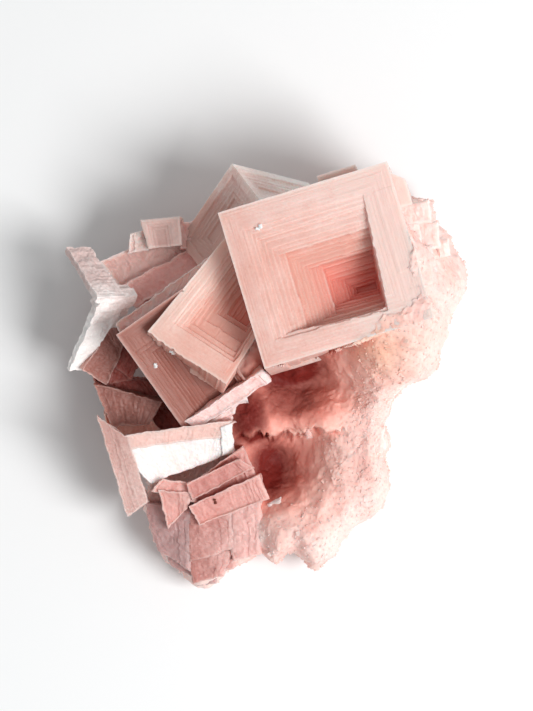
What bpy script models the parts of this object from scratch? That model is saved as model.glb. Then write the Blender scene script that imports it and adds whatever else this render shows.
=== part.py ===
"""Specimen of pink halite: hopper cubes, large and small, grown on a granular halite matrix.

Seen from above, +X is to the right and +Y to the top of the specimen. The flat sawn face of the
matrix lies on z = 0, and the origin is under the middle of the whole specimen.
A hopper cube grows faster along its edges than in the middle of its faces, so each face goes down
in steps to a small floor. Lengths below are millimetres, and angles are degrees.
"""

import math

import bmesh
import bpy
import numpy as np
from mathutils import Vector

MM = 0.001

# Driving dimensions
LARGE_EDGE = 35.0  # the largest cube, along its upper rim
LARGE_TOP = 37.0  # height of the middle of its upper face
LARGE_HEADING = 16.9  # compass heading of its front rim
MATRIX_TOP = 20.0  # general height of the granular matrix
SEAT_GAP = 0.3  # between the matrix and the crystals seated in it
CORE = 0.36  # margin of the floor of a shallow recess, as a share of the face's sides
BAR_STEP = 0.2  # the low step from one edge of a skeletal cube to the next

PINK = (0.86, 0.60, 0.57, 1.0)
GRANULAR_PINK = (0.90, 0.66, 0.60, 1.0)


def clear_scene():
    for obj in list(bpy.data.objects):
        bpy.data.objects.remove(obj, do_unlink=True)


def material(name, colour, roughness):
    made = bpy.data.materials.new(name)
    made.use_nodes = True
    shader = made.node_tree.nodes["Principled BSDF"]
    shader.inputs["Base Color"].default_value = colour
    shader.inputs["Roughness"].default_value = roughness
    shader.inputs["Metallic"].default_value = 0.0
    return made


def lattice(heading, tilt, toward):
    """Unit axes (along, across, out) of a crystal. Its face looks out, which leans by tilt from the
    vertical to the compass angle toward, and along points to heading when seen from above."""
    h, t, w = (math.radians(a) for a in (heading, tilt, toward))
    out = Vector((math.sin(t) * math.cos(w), math.sin(t) * math.sin(w), math.cos(t)))
    along = Vector((math.cos(h), math.sin(h), 0.0))
    along.z = -(along.x * out.x + along.y * out.y) / out.z
    along.normalize()
    return along, out.cross(along), out


def pit(rim, floor, depth, steps):
    """A stepped pit. rim and floor are the margins (low s, high s, low t, high t) of its mouth and of
    its floor, as shares of the face's sides."""
    return {"rim": rim, "floor": floor, "depth": depth, "steps": steps}


def shallow(depth, steps=2):
    """The low stepped recess in the side face of a hopper cube."""
    return pit((0.12, 0.12, 0.12, 0.12), (CORE, CORE, CORE, CORE), depth, steps)


def rectangle(corners, margins):
    """Four points inside a four-cornered face, at the given margins."""
    low_s, high_s, low_t, high_t = margins
    a, b, c, d = corners
    return [
        a + (b - a) * s + (d - a) * t
        for s, t in (
            (low_s, low_t),
            (1 - high_s, low_t),
            (1 - high_s, 1 - high_t),
            (low_s, 1 - high_t),
        )
    ]


def stepped_face(mesh, corners, inward, hole):
    """A face given by its corners, anticlockwise from outside, with or without a stepped pit: rings of
    four points that go in by a ledge, then down by a riser."""
    rings = [corners]
    if hole:
        for k in range(hole["steps"]):
            share = k / max(1, hole["steps"] - 1)
            margins = [r + (f - r) * share for r, f in zip(hole["rim"], hole["floor"])]
            lip = rectangle(corners, margins)
            for level in (k, k + 1):
                down = inward * (hole["depth"] * level / hole["steps"])
                rings.append([p + down for p in lip])
    rings = [[mesh.verts.new(p * MM) for p in ring] for ring in rings]
    for outer, inner in zip(rings, rings[1:]):
        for i in range(4):
            j = (i + 1) % 4
            mesh.faces.new((outer[i], outer[j], inner[j], inner[i]))
    mesh.faces.new(rings[-1])


def cube_corners(face_centre, axes, size, grow=0.0):
    """The eight corners of a cube from the middle of its upper face, keyed by the signs of the axes."""
    along, across, out = axes
    middle = Vector(face_centre) - out * (size[2] / 2)
    half = [s / 2 + grow for s in size]
    return {
        (i, j, k): middle + along * (i * half[0]) + across * (j * half[1]) + out * (k * half[2])
        for i in (-1, 1)
        for j in (-1, 1)
        for k in (-1, 1)
    }


# Each face of a cube: its corners, anticlockwise from outside, and the axis that its pit goes in along
FACES = {
    "out": (((-1, -1, 1), (1, -1, 1), (1, 1, 1), (-1, 1, 1)), 2, -1),
    "in": (((-1, 1, -1), (1, 1, -1), (1, -1, -1), (-1, -1, -1)), 2, 1),
    "along": (((1, -1, -1), (1, 1, -1), (1, 1, 1), (1, -1, 1)), 0, -1),
    "back": (((-1, 1, -1), (-1, -1, -1), (-1, -1, 1), (-1, 1, 1)), 0, 1),
    "across": (((1, 1, -1), (-1, 1, -1), (-1, 1, 1), (1, 1, 1)), 1, -1),
    "near": (((-1, -1, -1), (1, -1, -1), (1, -1, 1), (-1, -1, 1)), 1, 1),
}


def cube(name, face_centre, axes, size, pits=None, grow=0.0):
    """A hopper cube as a closed mesh object. pits gives the pit of each face that has one."""
    mesh = bmesh.new()
    corners = cube_corners(face_centre, axes, size, grow)
    for face, (keys, axis, sign) in FACES.items():
        hole = (pits or {}).get(face)
        stepped_face(mesh, [corners[k] for k in keys], axes[axis] * sign, hole)
    bmesh.ops.remove_doubles(mesh, verts=mesh.verts, dist=1e-7)
    return object_from(mesh, name)


def object_from(mesh, name):
    data = bpy.data.meshes.new(name)
    mesh.to_mesh(data)
    mesh.free()
    obj = bpy.data.objects.new(name, data)
    bpy.context.scene.collection.objects.link(obj)
    return obj


def combine(target, others, operation):
    """Joins the others to the target, or cuts them from it, and removes them."""
    for other in others:
        step = target.modifiers.new("combine", "BOOLEAN")
        step.operation = operation
        step.object = other
        step.solver = "EXACT"
        bpy.context.view_layer.update()
        graph = bpy.context.evaluated_depsgraph_get()
        result = bpy.data.meshes.new_from_object(target.evaluated_get(graph))
        target.modifiers.clear()
        target.data = result
        bpy.data.objects.remove(other, do_unlink=True)
    return target


def keep_largest(obj):
    """Drops the loose crumbs that a cut leaves beside the main body."""
    mesh = bmesh.new()
    mesh.from_mesh(obj.data)
    left, bodies = set(mesh.verts), []
    while left:
        body, front = set(), [next(iter(left))]
        while front:
            vert = front.pop()
            if vert in body:
                continue
            body.add(vert)
            front += [e.other_vert(vert) for e in vert.link_edges]
        left -= body
        bodies.append(body)
    bodies.sort(key=len)
    crumbs = [v for body in bodies[:-1] for v in body]
    bmesh.ops.delete(mesh, geom=crumbs, context="VERTS")
    mesh.to_mesh(obj.data)
    mesh.free()
    return obj


def tilted(name, face_centre, heading, tilt, toward, size, pits=None):
    """A crystal placed by the middle of its upper face and by the way it leans."""
    return name, Vector(face_centre), lattice(heading, tilt, toward), size, pits


def cornered(name, tip, edges, size, pits=None):
    """A crystal placed by one corner and the three edges that leave it. Its face looks out along the
    third edge."""
    middle = edges[0] * (size[0] / 2) + edges[1] * (size[1] / 2)
    return name, Vector(tip) + middle + edges[2] * size[2], edges, size, pits


def edges_from_slopes(headings, slopes):
    """Three edges at right angles that leave a corner in right-handed order, as near as can be to the
    given compass headings and downward slopes. The third follows from the other two."""
    wanted = []
    for heading, slope in zip(headings, slopes):
        h = math.radians(heading)
        wanted.append(Vector((math.cos(h), math.sin(h), -slope)).normalized())
    first = wanted[0]
    second = (wanted[1] - first * wanted[1].dot(first)).normalized()
    return first, second, first.cross(second)


def skeleton(name, tip, edges, lengths, thickness, webs):
    """A cube of which little more than three edges grew: a bar along each edge that leaves the tip,
    and between them smaller blocks, the webs, that stand back from their faces. webs gives how far
    back each stands, and its size."""
    bars = []
    for i, length in enumerate(lengths):
        size = [thickness] * 3
        size[i] = length
        start = Vector(tip)
        for j, edge in enumerate(edges):
            start += edge * (BAR_STEP * ((i + j) % 3))
        bars.append(cornered(f"{name}_bar_{i + 1}", start, edges, tuple(size)))
    for k, (inset, size) in enumerate(webs):
        inner = Vector(tip) + (edges[0] + edges[1] + edges[2]) * inset
        bars.append(cornered(f"{name}_web_{k + 1}", inner, edges, size))
    return bars


# The crystals of each group: name, middle of the upper face, heading, tilt, toward, size (along,
# across, deep) and pits

LARGE_LEAN = (5.5, 135.0)
LARGE = [
    tilted(
        "large",
        (11.8, 21.4, LARGE_TOP),
        LARGE_HEADING,
        *LARGE_LEAN,
        (LARGE_EDGE, 32.4, 20.0),
        {
            "out": pit((0.15, 0.22, 0.13, 0.24), (0.60, 0.26, 0.20, 0.56), 15.5, 10),
            "along": shallow(1.6),
            "back": shallow(1.6),
            "across": shallow(1.6),
            "near": shallow(1.6),
        },
    ),
    tilted("rim_block", (22.6, 25.8, LARGE_TOP + 0.3), LARGE_HEADING, *LARGE_LEAN, (5.0, 12.0, 6.0)),
    tilted("top_step", (14.6, 37.9, 33.5), LARGE_HEADING, *LARGE_LEAN, (8.0, 5.0, 9.0)),
    tilted("corner_step", (25.6, 37.0, 32.5), LARGE_HEADING, *LARGE_LEAN, (7.0, 8.0, 12.0)),
]

BACK = [
    cornered(
        "back",
        (-6.8, 41.9, 24.0),
        edges_from_slopes((-124.8, -12.4), (0.402, 0.942)),
        (20.0, 21.7, 12.0),
        {
            "near": pit((0.08, 0.10, 0.14, 0.14), (0.30, 0.26, 0.30, 0.26), 3.2, 4),
            "back": pit((0.10, 0.08, 0.14, 0.14), (0.26, 0.30, 0.30, 0.26), 2.4, 4),
            "out": pit((0.08, 0.08, 0.08, 0.08), (0.30, 0.30, 0.30, 0.30), 2.4, 3),
        },
    ),
]

LEFT = [
    tilted(
        "left",
        (-11.4, 4.8, 23.8),
        -55.0,
        26.0,
        -56.0,
        (27.0, 27.0, 19.0),
        {
            "out": pit((0.16, 0.14, 0.22, 0.16), (0.22, 0.22, 0.34, 0.24), 4.6, 5),
            "back": pit((0.10, 0.10, 0.12, 0.12), (0.16, 0.16, 0.42, 0.40), 1.8, 4),
            "near": shallow(1.2),
            "along": shallow(1.2),
        },
    ),
    tilted(
        "middle",
        (-7.9, 15.2, 29.5),
        -32.4,
        10.0,
        70.0,
        (18.8, 30.0, 12.0),
        {
            "out": pit((0.22, 0.16, 0.16, 0.12), (0.40, 0.26, 0.34, 0.20), 4.8, 6),
            "near": shallow(0.8),
            "back": shallow(0.8),
        },
    ),
    tilted("left_shelf", (-22.6, 20.6, 16.5), 31.0, 24.0, 125.0, (20.0, 12.5, 10.0)),
    tilted(
        "knob",
        (-21.1, 28.0, 20.0),
        3.0,
        10.0,
        150.0,
        (8.0, 6.6, 9.0),
        {"out": pit((0.16, 0.16, 0.16, 0.16), (0.30, 0.30, 0.30, 0.30), 0.9, 2)},
    ),
    tilted("ridge_upper", (-7.6, -5.4, 19.6), 28.5, 20.0, -62.0, (18.5, 4.2, 11.0)),
    tilted("ridge_lower", (-7.8, -8.6, 17.4), 24.0, 14.0, -66.0, (14.5, 5.0, 11.0)),
    tilted("dark_block", (-27.0, -7.4, 12.4), -20.0, 18.0, -120.0, (12.6, 5.6, 9.0)),
    tilted("dark_step", (-24.0, -6.6, 10.4), -24.0, 10.0, 60.0, (13.0, 5.0, 7.0)),
]

PLATE_LEAN = (34.0, -62.0)
LOWER = [
    tilted(
        "plate",
        (-18.8, -15.6, 19.0),
        9.2,
        *PLATE_LEAN,
        (26.4, 9.0, 8.0),
        {"out": pit((0.14, 0.10, 0.12, 0.28), (0.18, 0.14, 0.24, 0.40), 1.2, 3)},
    ),
    tilted("plate_arm", (-27.5, -21.2, 18.7), -74.7, *PLATE_LEAN, (19.0, 5.6, 7.0)),
    tilted("stepped_block", (-9.0, -20.2, 13.4), 28.0, 18.0, -62.0, (15.4, 12.4, 10.0)),
    tilted("rod", (-7.6, -25.6, 14.6), 27.5, 18.0, -62.0, (15.6, 5.4, 6.0)),
    tilted("rod_step", (-8.8, -21.4, 14.8), 27.5, 18.0, -62.0, (12.6, 2.6, 6.0)),
]

LEFT += skeleton(
    "wing",
    (-32.7, 15.2, 26.0),
    edges_from_slopes((122.5, 4.0), (0.761, 0.695)),
    (15.2, 9.0, 19.0),
    4.2,
    [(1.0, (4.6, 8.5, 8.5)), (1.3, (2.6, 8.8, 16.0))],
)
LOWER += skeleton(
    "star",
    (-19.4, -24.8, 17.0),
    edges_from_slopes((132.0, 18.0), (0.6, 0.55)),
    (6.0, 6.0, 8.0),
    2.2,
    [(1.0, (4.4, 4.4, 4.4))],
)


# The granular matrix. Its outline seen from above, anticlockwise from the right

OUTLINE = [
    (39.8, 21.2),
    (37.2, 27.2),
    (34.0, 30.6),
    (33.2, 34.6),
    (27.0, 35.4),
    (16.0, 35.2),
    (5.0, 33.0),
    (-7.0, 29.0),
    (-15.5, 22.0),
    (-19.0, 13.0),
    (-19.4, 3.0),
    (-20.4, -8.0),
    (-22.4, -17.0),
    (-24.6, -27.0),
    (-22.8, -32.2),
    (-21.2, -37.2),
    (-19.0, -39.4),
    (-14.8, -42.4),
    (-10.7, -42.4),
    (-8.9, -40.8),
    (-6.5, -39.2),
    (-2.0, -37.0),
    (1.8, -38.0),
    (3.6, -36.2),
    (6.9, -36.2),
    (9.3, -39.4),
    (12.1, -38.2),
    (14.6, -36.2),
    (19.0, -30.6),
    (22.0, -28.5),
    (24.4, -23.4),
    (24.3, -18.8),
    (23.2, -16.8),
    (24.2, -11.2),
    (24.6, -8.0),
    (26.3, -4.2),
    (28.2, -1.8),
    (32.2, -1.0),
    (34.6, 1.6),
    (35.6, 6.2),
    (38.2, 14.3),
]
MIDDLE = (6.5, -3.5)
SPOKES, TOP_RINGS, SIDE_RINGS = 78, 15, 4
SHOULDER = 0.8  # where the top begins to round over, as a share of the outline's reach
FOOT = 0.87  # the sawn face's reach, as a share of the outline's

# Hills and hollows of the matrix: place, reach along x and y, height above or below its general top
RELIEF = [
    ((30.0, 17.0), (9.0, 12.0), 13.5),
    ((24.0, 3.0), (8.5, 8.5), 9.5),
    ((29.0, 8.0), (8.0, 8.0), 5.5),
    ((8.0, -3.6), (10.5, 4.4), -6.0),
    ((13.0, -7.6), (8.0, 2.8), 2.2),
    ((3.6, -18.6), (7.4, 8.0), -13.0),
    ((17.0, -28.0), (8.0, 8.0), -3.0),
    ((-16.0, 2.0), (9.0, 14.0), -9.0),
    ((-13.0, -33.0), (9.0, 8.0), -9.5),
    ((-22.0, -14.0), (7.0, 9.0), -7.0),
    ((-14.0, -20.0), (12.0, 9.0), -10.0),
]

# Single blocks that stand out of the matrix
BLOCKS = [
    tilted("block_1", (-12.4, -38.2, 9.5), 24.0, 12.0, -100.0, (8.6, 6.4, 8.0)),
    tilted("block_2", (-12.0, -32.0, 13.0), 10.0, 10.0, -80.0, (11.0, 8.0, 8.0)),
    tilted("block_3", (-4.0, -32.6, 13.0), 14.0, 14.0, -60.0, (8.0, 8.4, 8.0)),
    tilted("block_4", (-20.0, -32.0, 10.0), -22.0, 24.0, -150.0, (6.6, 9.0, 8.0)),
    tilted("block_5", (8.2, -12.0, 18.0), 12.0, 12.0, -90.0, (2.4, 2.8, 5.0)),
    tilted("block_6", (22.2, -13.0, 17.0), 20.0, 12.0, -40.0, (3.4, 4.2, 6.0)),
    tilted("block_7", (2.2, -25.6, 12.0), 35.0, 20.0, -70.0, (2.6, 2.6, 6.0)),
    tilted("block_8", (30.6, 31.8, 33.0), 12.0, 8.0, 40.0, (4.8, 5.0, 12.0)),
    tilted("block_9", (35.2, 25.0, 29.0), 30.0, 14.0, 10.0, (4.2, 5.4, 12.0)),
    tilted("block_10", (18.6, -28.4, 15.0), 40.0, 18.0, -50.0, (4.0, 4.6, 6.0)),
]
GRAINS = 60  # smaller cubes, spread over the matrix
GRAIN_SIZES = (1.8, 3.6)
GOLDEN = (math.sqrt(5) - 1) / 2


def lumps(x, y, z=0.0):
    """Low rounded lumps of about a millimetre, as a sum of crossing waves."""
    return (
        0.55 * np.sin(0.71 * x + 1.3 * np.sin(0.33 * y)) * np.cos(0.63 * y + 0.4 * z)
        + 0.40 * np.sin(1.37 * y + 0.9 * x + 0.8 * z)
        + 0.30 * np.cos(1.9 * x - 1.1 * y + 0.7 * z)
    )


def matrix_height(x, y):
    """Height of the matrix's upper side over a point."""
    height = MATRIX_TOP + 0.0 * x
    for (cx, cy), (rx, ry), rise in RELIEF:
        height = height + rise * np.exp(-(((x - cx) / rx) ** 2) - ((y - cy) / ry) ** 2)
    ledge = 1 / (1 + np.exp(-(y + 10.2 - 0.10 * (x - 5.0)) / 0.5))
    near_ledge = np.exp(-(((x - 5.0) / 9.5) ** 2)) * np.exp(-(((y + 12.0) / 5.0) ** 2))
    height = height + 4.0 * (ledge - 0.5) * near_ledge
    return height + lumps(x, y)


def outline_radius(angle):
    """Distance from the middle to the outline in a direction, in straight lines between its points."""
    points = np.array(OUTLINE) - np.array(MIDDLE)
    angles = np.arctan2(points[:, 1], points[:, 0])
    order = np.argsort(angles)
    angles, radii = angles[order], np.hypot(points[:, 0], points[:, 1])[order]
    angles = np.concatenate([angles - 2 * math.pi, angles, angles + 2 * math.pi])
    return np.interp((angle + math.pi) % (2 * math.pi) - math.pi, angles, np.tile(radii, 3))


def upper_side(turn, share):
    """A point of the matrix's upper side, at a share of the way from the middle to the outline. It
    rounds over towards the outline."""
    reach = outline_radius(turn) * share
    x = MIDDLE[0] + reach * np.cos(turn)
    y = MIDDLE[1] + reach * np.sin(turn)
    drop = max(0.0, (share - SHOULDER) / (1 - SHOULDER))
    return x, y, matrix_height(x, y) * (1 - 0.52 * (1 - math.sqrt(1 - 0.998 * drop**2)))


def matrix_body(name):
    """The matrix as rings of points: over the top from the middle to the outline, round the bulging
    side, and in to the foot on z = 0."""
    turn = np.linspace(0, 2 * math.pi, SPOKES, endpoint=False)
    rings = [upper_side(turn, (k / TOP_RINGS) ** 0.9) for k in range(1, TOP_RINGS + 1)]
    reach, edge_z = outline_radius(turn), rings[-1][2]
    for k in range(1, SIDE_RINGS + 1):
        down = k / SIDE_RINGS
        share = 1 + 0.03 * math.sin(math.pi * down) - (1 - FOOT) * down**1.6
        wobble = 0 if k == SIDE_RINGS else lumps(turn * 11, turn * 7, k * 3.0) * 0.012
        x = MIDDLE[0] + reach * (share + wobble) * np.cos(turn)
        y = MIDDLE[1] + reach * (share + wobble) * np.sin(turn)
        rings.append((x, y, edge_z * (1 - down)))
    mesh = bmesh.new()
    top = mesh.verts.new(Vector((*MIDDLE, float(matrix_height(*MIDDLE)))) * MM)
    bottom = mesh.verts.new(Vector((*MIDDLE, 0.0)) * MM)
    loops = [[mesh.verts.new(Vector(p) * MM) for p in zip(*ring)] for ring in rings]
    for i in range(SPOKES):
        j = (i + 1) % SPOKES
        mesh.faces.new((top, loops[0][i], loops[0][j]))
        mesh.faces.new((bottom, loops[-1][j], loops[-1][i]))
        for inner, outer in zip(loops, loops[1:]):
            mesh.faces.new((inner[i], outer[i], outer[j], inner[j]))
    return object_from(mesh, name)


def grains():
    """Small cubes half sunk in the matrix, spread evenly by the golden angle."""
    entries = []
    for k in range(GRAINS):
        x, y, z = upper_side(2 * math.pi * k * GOLDEN, 0.9 * math.sqrt((k + 0.5) / GRAINS))
        size = GRAIN_SIZES[0] + (GRAIN_SIZES[1] - GRAIN_SIZES[0]) * ((k * 7 * GOLDEN) % 1)
        heading, tilt, toward = (k * 53) % 90, 8 + (k * 29) % 34, (k * 97) % 360
        face = (float(x), float(y), float(z) + 0.34 * size)
        entries.append(tilted(f"grain_{k}", face, heading, tilt, toward, (size, size, size)))
    return entries


def join_cubes(name, entries):
    cubes = [cube(*entry) for entry in entries]
    cubes[0].name = name
    return combine(cubes[0], cubes[1:], "UNION")


def seat(body, entries):
    """Cuts room for crystals that grew into a body, and keeps what is left in one piece."""
    rooms = [cube(n, face, axes, size, None, SEAT_GAP) for n, face, axes, size, _ in entries]
    room = combine(rooms[0], rooms[1:], "UNION")
    return keep_largest(combine(body, [room], "DIFFERENCE"))


def centre(nodes):
    """Moves all nodes together until the origin is under the middle of their bounding box."""
    spots = np.array([v.co for obj in nodes for v in obj.data.vertices])
    middle = (spots.min(axis=0) + spots.max(axis=0)) / 2
    for obj in nodes:
        for vert in obj.data.vertices:
            vert.co.x -= middle[0]
            vert.co.y -= middle[1]


def build():
    clear_scene()
    crystal = material("pink_halite", PINK, 0.35)
    granular = material("granular_halite", GRANULAR_PINK, 0.7)
    large = join_cubes("large_hopper_crystal", LARGE)
    back = seat(join_cubes("back_crystal", BACK), LARGE)
    left = seat(join_cubes("left_hopper_crystals", LEFT), LARGE + BACK)
    lower = seat(join_cubes("lower_crystals", LOWER), LEFT)
    matrix = matrix_body("granular_matrix")
    combine(matrix, [cube(*entry) for entry in BLOCKS + grains()], "UNION")
    seat(matrix, LARGE + BACK + LEFT + LOWER)
    nodes = (large, back, left, lower, matrix)
    centre(nodes)
    for obj in nodes:
        obj.data.materials.clear()
        obj.data.materials.append(granular if obj is matrix else crystal)


build()
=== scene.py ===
"""Looks of the pink halite specimen: hopper cubes on a granular crust, seen from above on a pale floor.

Lengths are millimetres and angles degrees. Places are measured from the zero that the solids were laid
out from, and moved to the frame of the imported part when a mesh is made.
"""

import math

import bpy
import numpy as np
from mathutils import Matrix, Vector


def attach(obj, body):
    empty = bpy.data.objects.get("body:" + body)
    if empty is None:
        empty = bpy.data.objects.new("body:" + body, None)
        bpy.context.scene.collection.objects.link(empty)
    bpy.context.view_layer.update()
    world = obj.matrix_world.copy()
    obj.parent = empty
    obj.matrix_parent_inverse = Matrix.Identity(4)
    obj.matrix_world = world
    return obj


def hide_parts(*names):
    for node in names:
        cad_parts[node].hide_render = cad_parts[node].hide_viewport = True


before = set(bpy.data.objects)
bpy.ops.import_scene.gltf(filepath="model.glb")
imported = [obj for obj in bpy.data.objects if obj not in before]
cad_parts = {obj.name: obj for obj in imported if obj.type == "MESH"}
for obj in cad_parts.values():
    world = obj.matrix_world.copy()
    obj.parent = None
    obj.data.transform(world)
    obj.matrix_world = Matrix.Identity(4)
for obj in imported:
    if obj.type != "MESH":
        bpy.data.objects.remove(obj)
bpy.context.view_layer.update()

# The large hopper crystal. A single cube of pink halite, 35 mm along its rim, that grew faster at its
# edges than in the middle of its face, so that the face goes down in steps to a small floor at the
# lower right. Its rims are pale and ribbed along their length, with a painted highlight on their
# lips, and the pit is deep salmon, with painted shade added in its depths.

MM = 0.001
SPECIMEN_MIDDLE = np.array((-0.676, -0.42, 0.0))  # middle of the whole specimen, from the layout's zero


def lattice(heading, tilt, toward):
    """Unit axes (along, across, out) of a crystal, as rows. out leans by tilt from the vertical to the
    compass angle toward, and along points to heading when seen from above."""
    h, t, w = (math.radians(a) for a in (heading, tilt, toward))
    out = np.array((math.sin(t) * math.cos(w), math.sin(t) * math.sin(w), math.cos(t)))
    along = np.array((math.cos(h), math.sin(h), 0.0))
    along[2] = -(along[0] * out[0] + along[1] * out[1]) / out[2]
    along /= np.linalg.norm(along)
    return np.array((along, np.cross(out, along), out))


def hashed(i, j, k):
    """A fixed number from 0 to 1 for each lattice point: the fractional part of a large sine."""
    return np.modf(np.abs(np.sin(i * 12.9898 + j * 78.233 + k * 37.719)) * 43758.5453)[0]


def noise(x, y, z=0.0):
    """Smooth noise from 0 to 1: the hashed numbers of the eight lattice points round a place, blended
    by 3t² - 2t³ in each direction."""
    x, y, z = np.broadcast_arrays(x, y, z)
    i, j, k = np.floor(x), np.floor(y), np.floor(z)
    u, v, w = (t * t * (3 - 2 * t) for t in (x - i, y - j, z - k))
    total = 0.0
    for a in (0, 1):
        for b in (0, 1):
            for c in (0, 1):
                share = (u if a else 1 - u) * (v if b else 1 - v) * (w if c else 1 - w)
                total = total + share * hashed(i + a, j + b, k + c)
    return total


def blurred(field, times):
    """A grid smoothed by (1 2 1)/4 in both directions, as many times as asked, with its border held."""
    for _ in range(times):
        for axis in (0, 1):
            field = np.swapaxes(field, 0, axis)
            inner = (field[:-2] + 2 * field[1:-1] + field[2:]) / 4
            field = np.swapaxes(np.concatenate([field[:1], inner, field[-1:]]), 0, axis)
    return field


def closed_mesh(name, sheets):
    """One mesh from sheets of points that share their borders. A sheet is (points, marks): points is
    (rows, columns, 3) with rows x columns looking outwards, and marks holds a grid of numbers for each
    name in MARKS. Points in the same place are joined, and each cell becomes two triangles."""
    cells, start = [], 0
    for points, _ in sheets:
        rows, columns = points.shape[:2]
        index = start + np.arange(rows * columns).reshape(rows, columns)
        corners = (index[:-1, :-1], index[1:, :-1], index[1:, 1:], index[:-1, 1:])
        cells.append(np.stack(corners, axis=-1).reshape(-1, 4))
        start += rows * columns
    cells = np.concatenate(cells)
    points = np.concatenate([p.reshape(-1, 3) for p, _ in sheets])
    _, first, same = np.unique(np.round(points, 4), axis=0, return_index=True, return_inverse=True)
    cells = same.reshape(-1)[cells]
    triangles = np.concatenate([cells[:, (0, 1, 2)], cells[:, (0, 2, 3)]])
    a, b, c = triangles.T
    triangles = triangles[(a != b) & (b != c) & (a != c)]
    mesh = bpy.data.meshes.new(name)
    mesh.from_pydata(((points[first] - SPECIMEN_MIDDLE) * MM).tolist(), [], triangles.tolist())
    for mark in MARKS:
        values = np.concatenate([m[mark].reshape(-1) for _, m in sheets])[first]
        mesh.attributes.new(mark, "FLOAT", "POINT").data.foreach_set("value", values.astype(np.float32))
    obj = bpy.data.objects.new(name, mesh)
    bpy.context.scene.collection.objects.link(obj)
    return obj


# What the finish reads at each point: how deep it lies below its face, how far it is from the rim, how
# far along the rim, and how much it stands out from what is round it
MARKS = ("sink", "band", "run", "lip")
SIDES = {
    "along": ((1, -1), 1, 1, 0, 1),
    "back": ((-1, 1), 1, -1, 0, -1),
    "across": ((1, 1), 0, -1, 1, 1),
    "near": ((-1, -1), 0, 1, 1, -1),
}


def marks_for(sink, band, run):
    """The marks of a sheet. lip is how far a point stands above the smoothed sheet."""
    sink, band, run = np.broadcast_arrays(sink, band, run)
    return {"sink": sink, "band": band, "run": run, "lip": blurred(sink, 6) - sink}


def crystal(name, face, axes, size, spacing, relief=None, side_relief=None, shape=None, wear=0.05):
    """A cuboid crystal from the middle of its upper face. relief(p, q) is the depth of the upper face at
    p mm along and q mm across from its low corner, and side_relief(a, d, length) that of each side at a
    mm along its rim and d mm below it; both are 0 on the edges. shape(p, q, r) moves the points of the
    whole cuboid, and wear rounds them by a smooth noise of that many millimetres."""
    counts = [max(2, round(size[0] / spacing[0])), max(2, round(size[1] / spacing[0]))]
    counts.append(max(2, round(size[2] / spacing[1])))
    steps = [np.linspace(0, length, count + 1) for length, count in zip(size, counts)]
    p, q = np.meshgrid(steps[0], steps[1], indexing="ij")
    sink = relief(p, q) if relief else 0.0 * p
    to_p, to_q = np.minimum(p, size[0] - p), np.minimum(q, size[1] - q)
    marks = marks_for(sink, np.minimum(to_p, to_q), np.where(to_p < to_q, q, p))
    sheets = [(np.stack([p, q, size[2] - sink], axis=-1), marks)]
    middle = np.array((size[0] / 2, size[1] / 2, 0.0))
    for corner, first, sign, inward, outside in SIDES.values():
        a, r = np.meshgrid(steps[first], steps[2], indexing="ij")
        d = size[2] - r
        sink = side_relief(a, d, size[first]) if side_relief else 0.0 * a
        points = np.zeros(a.shape + (3,))
        points[..., first] = a if sign > 0 else size[first] - a
        points[..., inward] = size[inward] - sink if outside > 0 else sink
        points[..., 2] = r
        sheets.append((points, marks_for(sink, d + 0.0 * a, a)))
        rim = points[:, :1]
        fan = np.concatenate([np.broadcast_to(middle, rim.shape), rim], axis=1)
        sheets.append((fan, marks_for(0.0 * fan[..., 0], 0.0, 0.0)))
    placed = []
    for points, marks in sheets:
        if shape:
            points = np.stack(shape(*np.moveaxis(points, -1, 0)), axis=-1)
        offset = points - np.array((size[0] / 2, size[1] / 2, size[2]))
        placed.append((worn(np.array(face) + offset @ axes, wear), marks))
    return closed_mesh(name, placed)


def worn(points, amount):
    """Points moved by up to amount in each direction by smooth noise of 1.6 mm and 0.5 mm."""
    x, y, z = np.moveaxis(points, -1, 0)
    moves = []
    for k in range(3):
        coarse = noise(x / 1.6 + 17 * k, y / 1.6, z / 1.6) - 0.5
        fine = noise(x / 0.5, y / 0.5 + 31 * k, z / 0.5) - 0.5
        moves.append(1.3 * coarse + 0.7 * fine)
    return points + amount * np.stack(moves, axis=-1)


def stairs(x, places, depths, along=0.0, wobble=0.0, riser=0.16, seed=0):
    """Depth of a wall x mm from its rim: it goes down to depths[k] over a riser at places[k]. Each step
    wanders by wobble along the wall, by smooth noise."""
    depth, last = 0.0, 0.0
    for k, (place, level) in enumerate(zip(places, depths)):
        wander = 0.6 * wobble * (noise(along / 9.0, seed + 5.3 * k) - 0.5)
        wander = wander + 0.6 * wobble * np.clip(4 * (noise(along / 2.2, seed + 9.1 * k) - 0.62), 0, 1)
        depth = depth + (level - last) * np.clip((x - place - wander) / riser, 0, 1)
        last = level
    return depth


def even_stairs(x, first, last, count, depth, seed, along=0.0, wobble=0.25):
    """stairs() with count steps from first to last, each moved and deepened by a fixed hash."""
    k = np.arange(count)
    gap = (last - first) / max(1, count - 1)
    places = first + gap * (k + 0.5 * (hashed(k, seed, 1.0) - 0.5))
    drops = 0.35 + 1.3 * hashed(k, seed, 2.0)
    return stairs(x, places, depth * np.cumsum(drops) / drops.sum(), along, wobble, seed=seed)


def ribs(band, run, height, seed=0):
    """Low ribs along the rim: noise that varies fast across it and slowly along it, and fades at 0."""
    fade = np.clip(band / 0.6, 0, 1)
    coarse = noise(band * 2.6, run * 0.035, seed)
    fine = noise(band * 5.2, run * 0.07, seed + 3)
    return height * fade * (coarse + 0.6 * fine)


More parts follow.
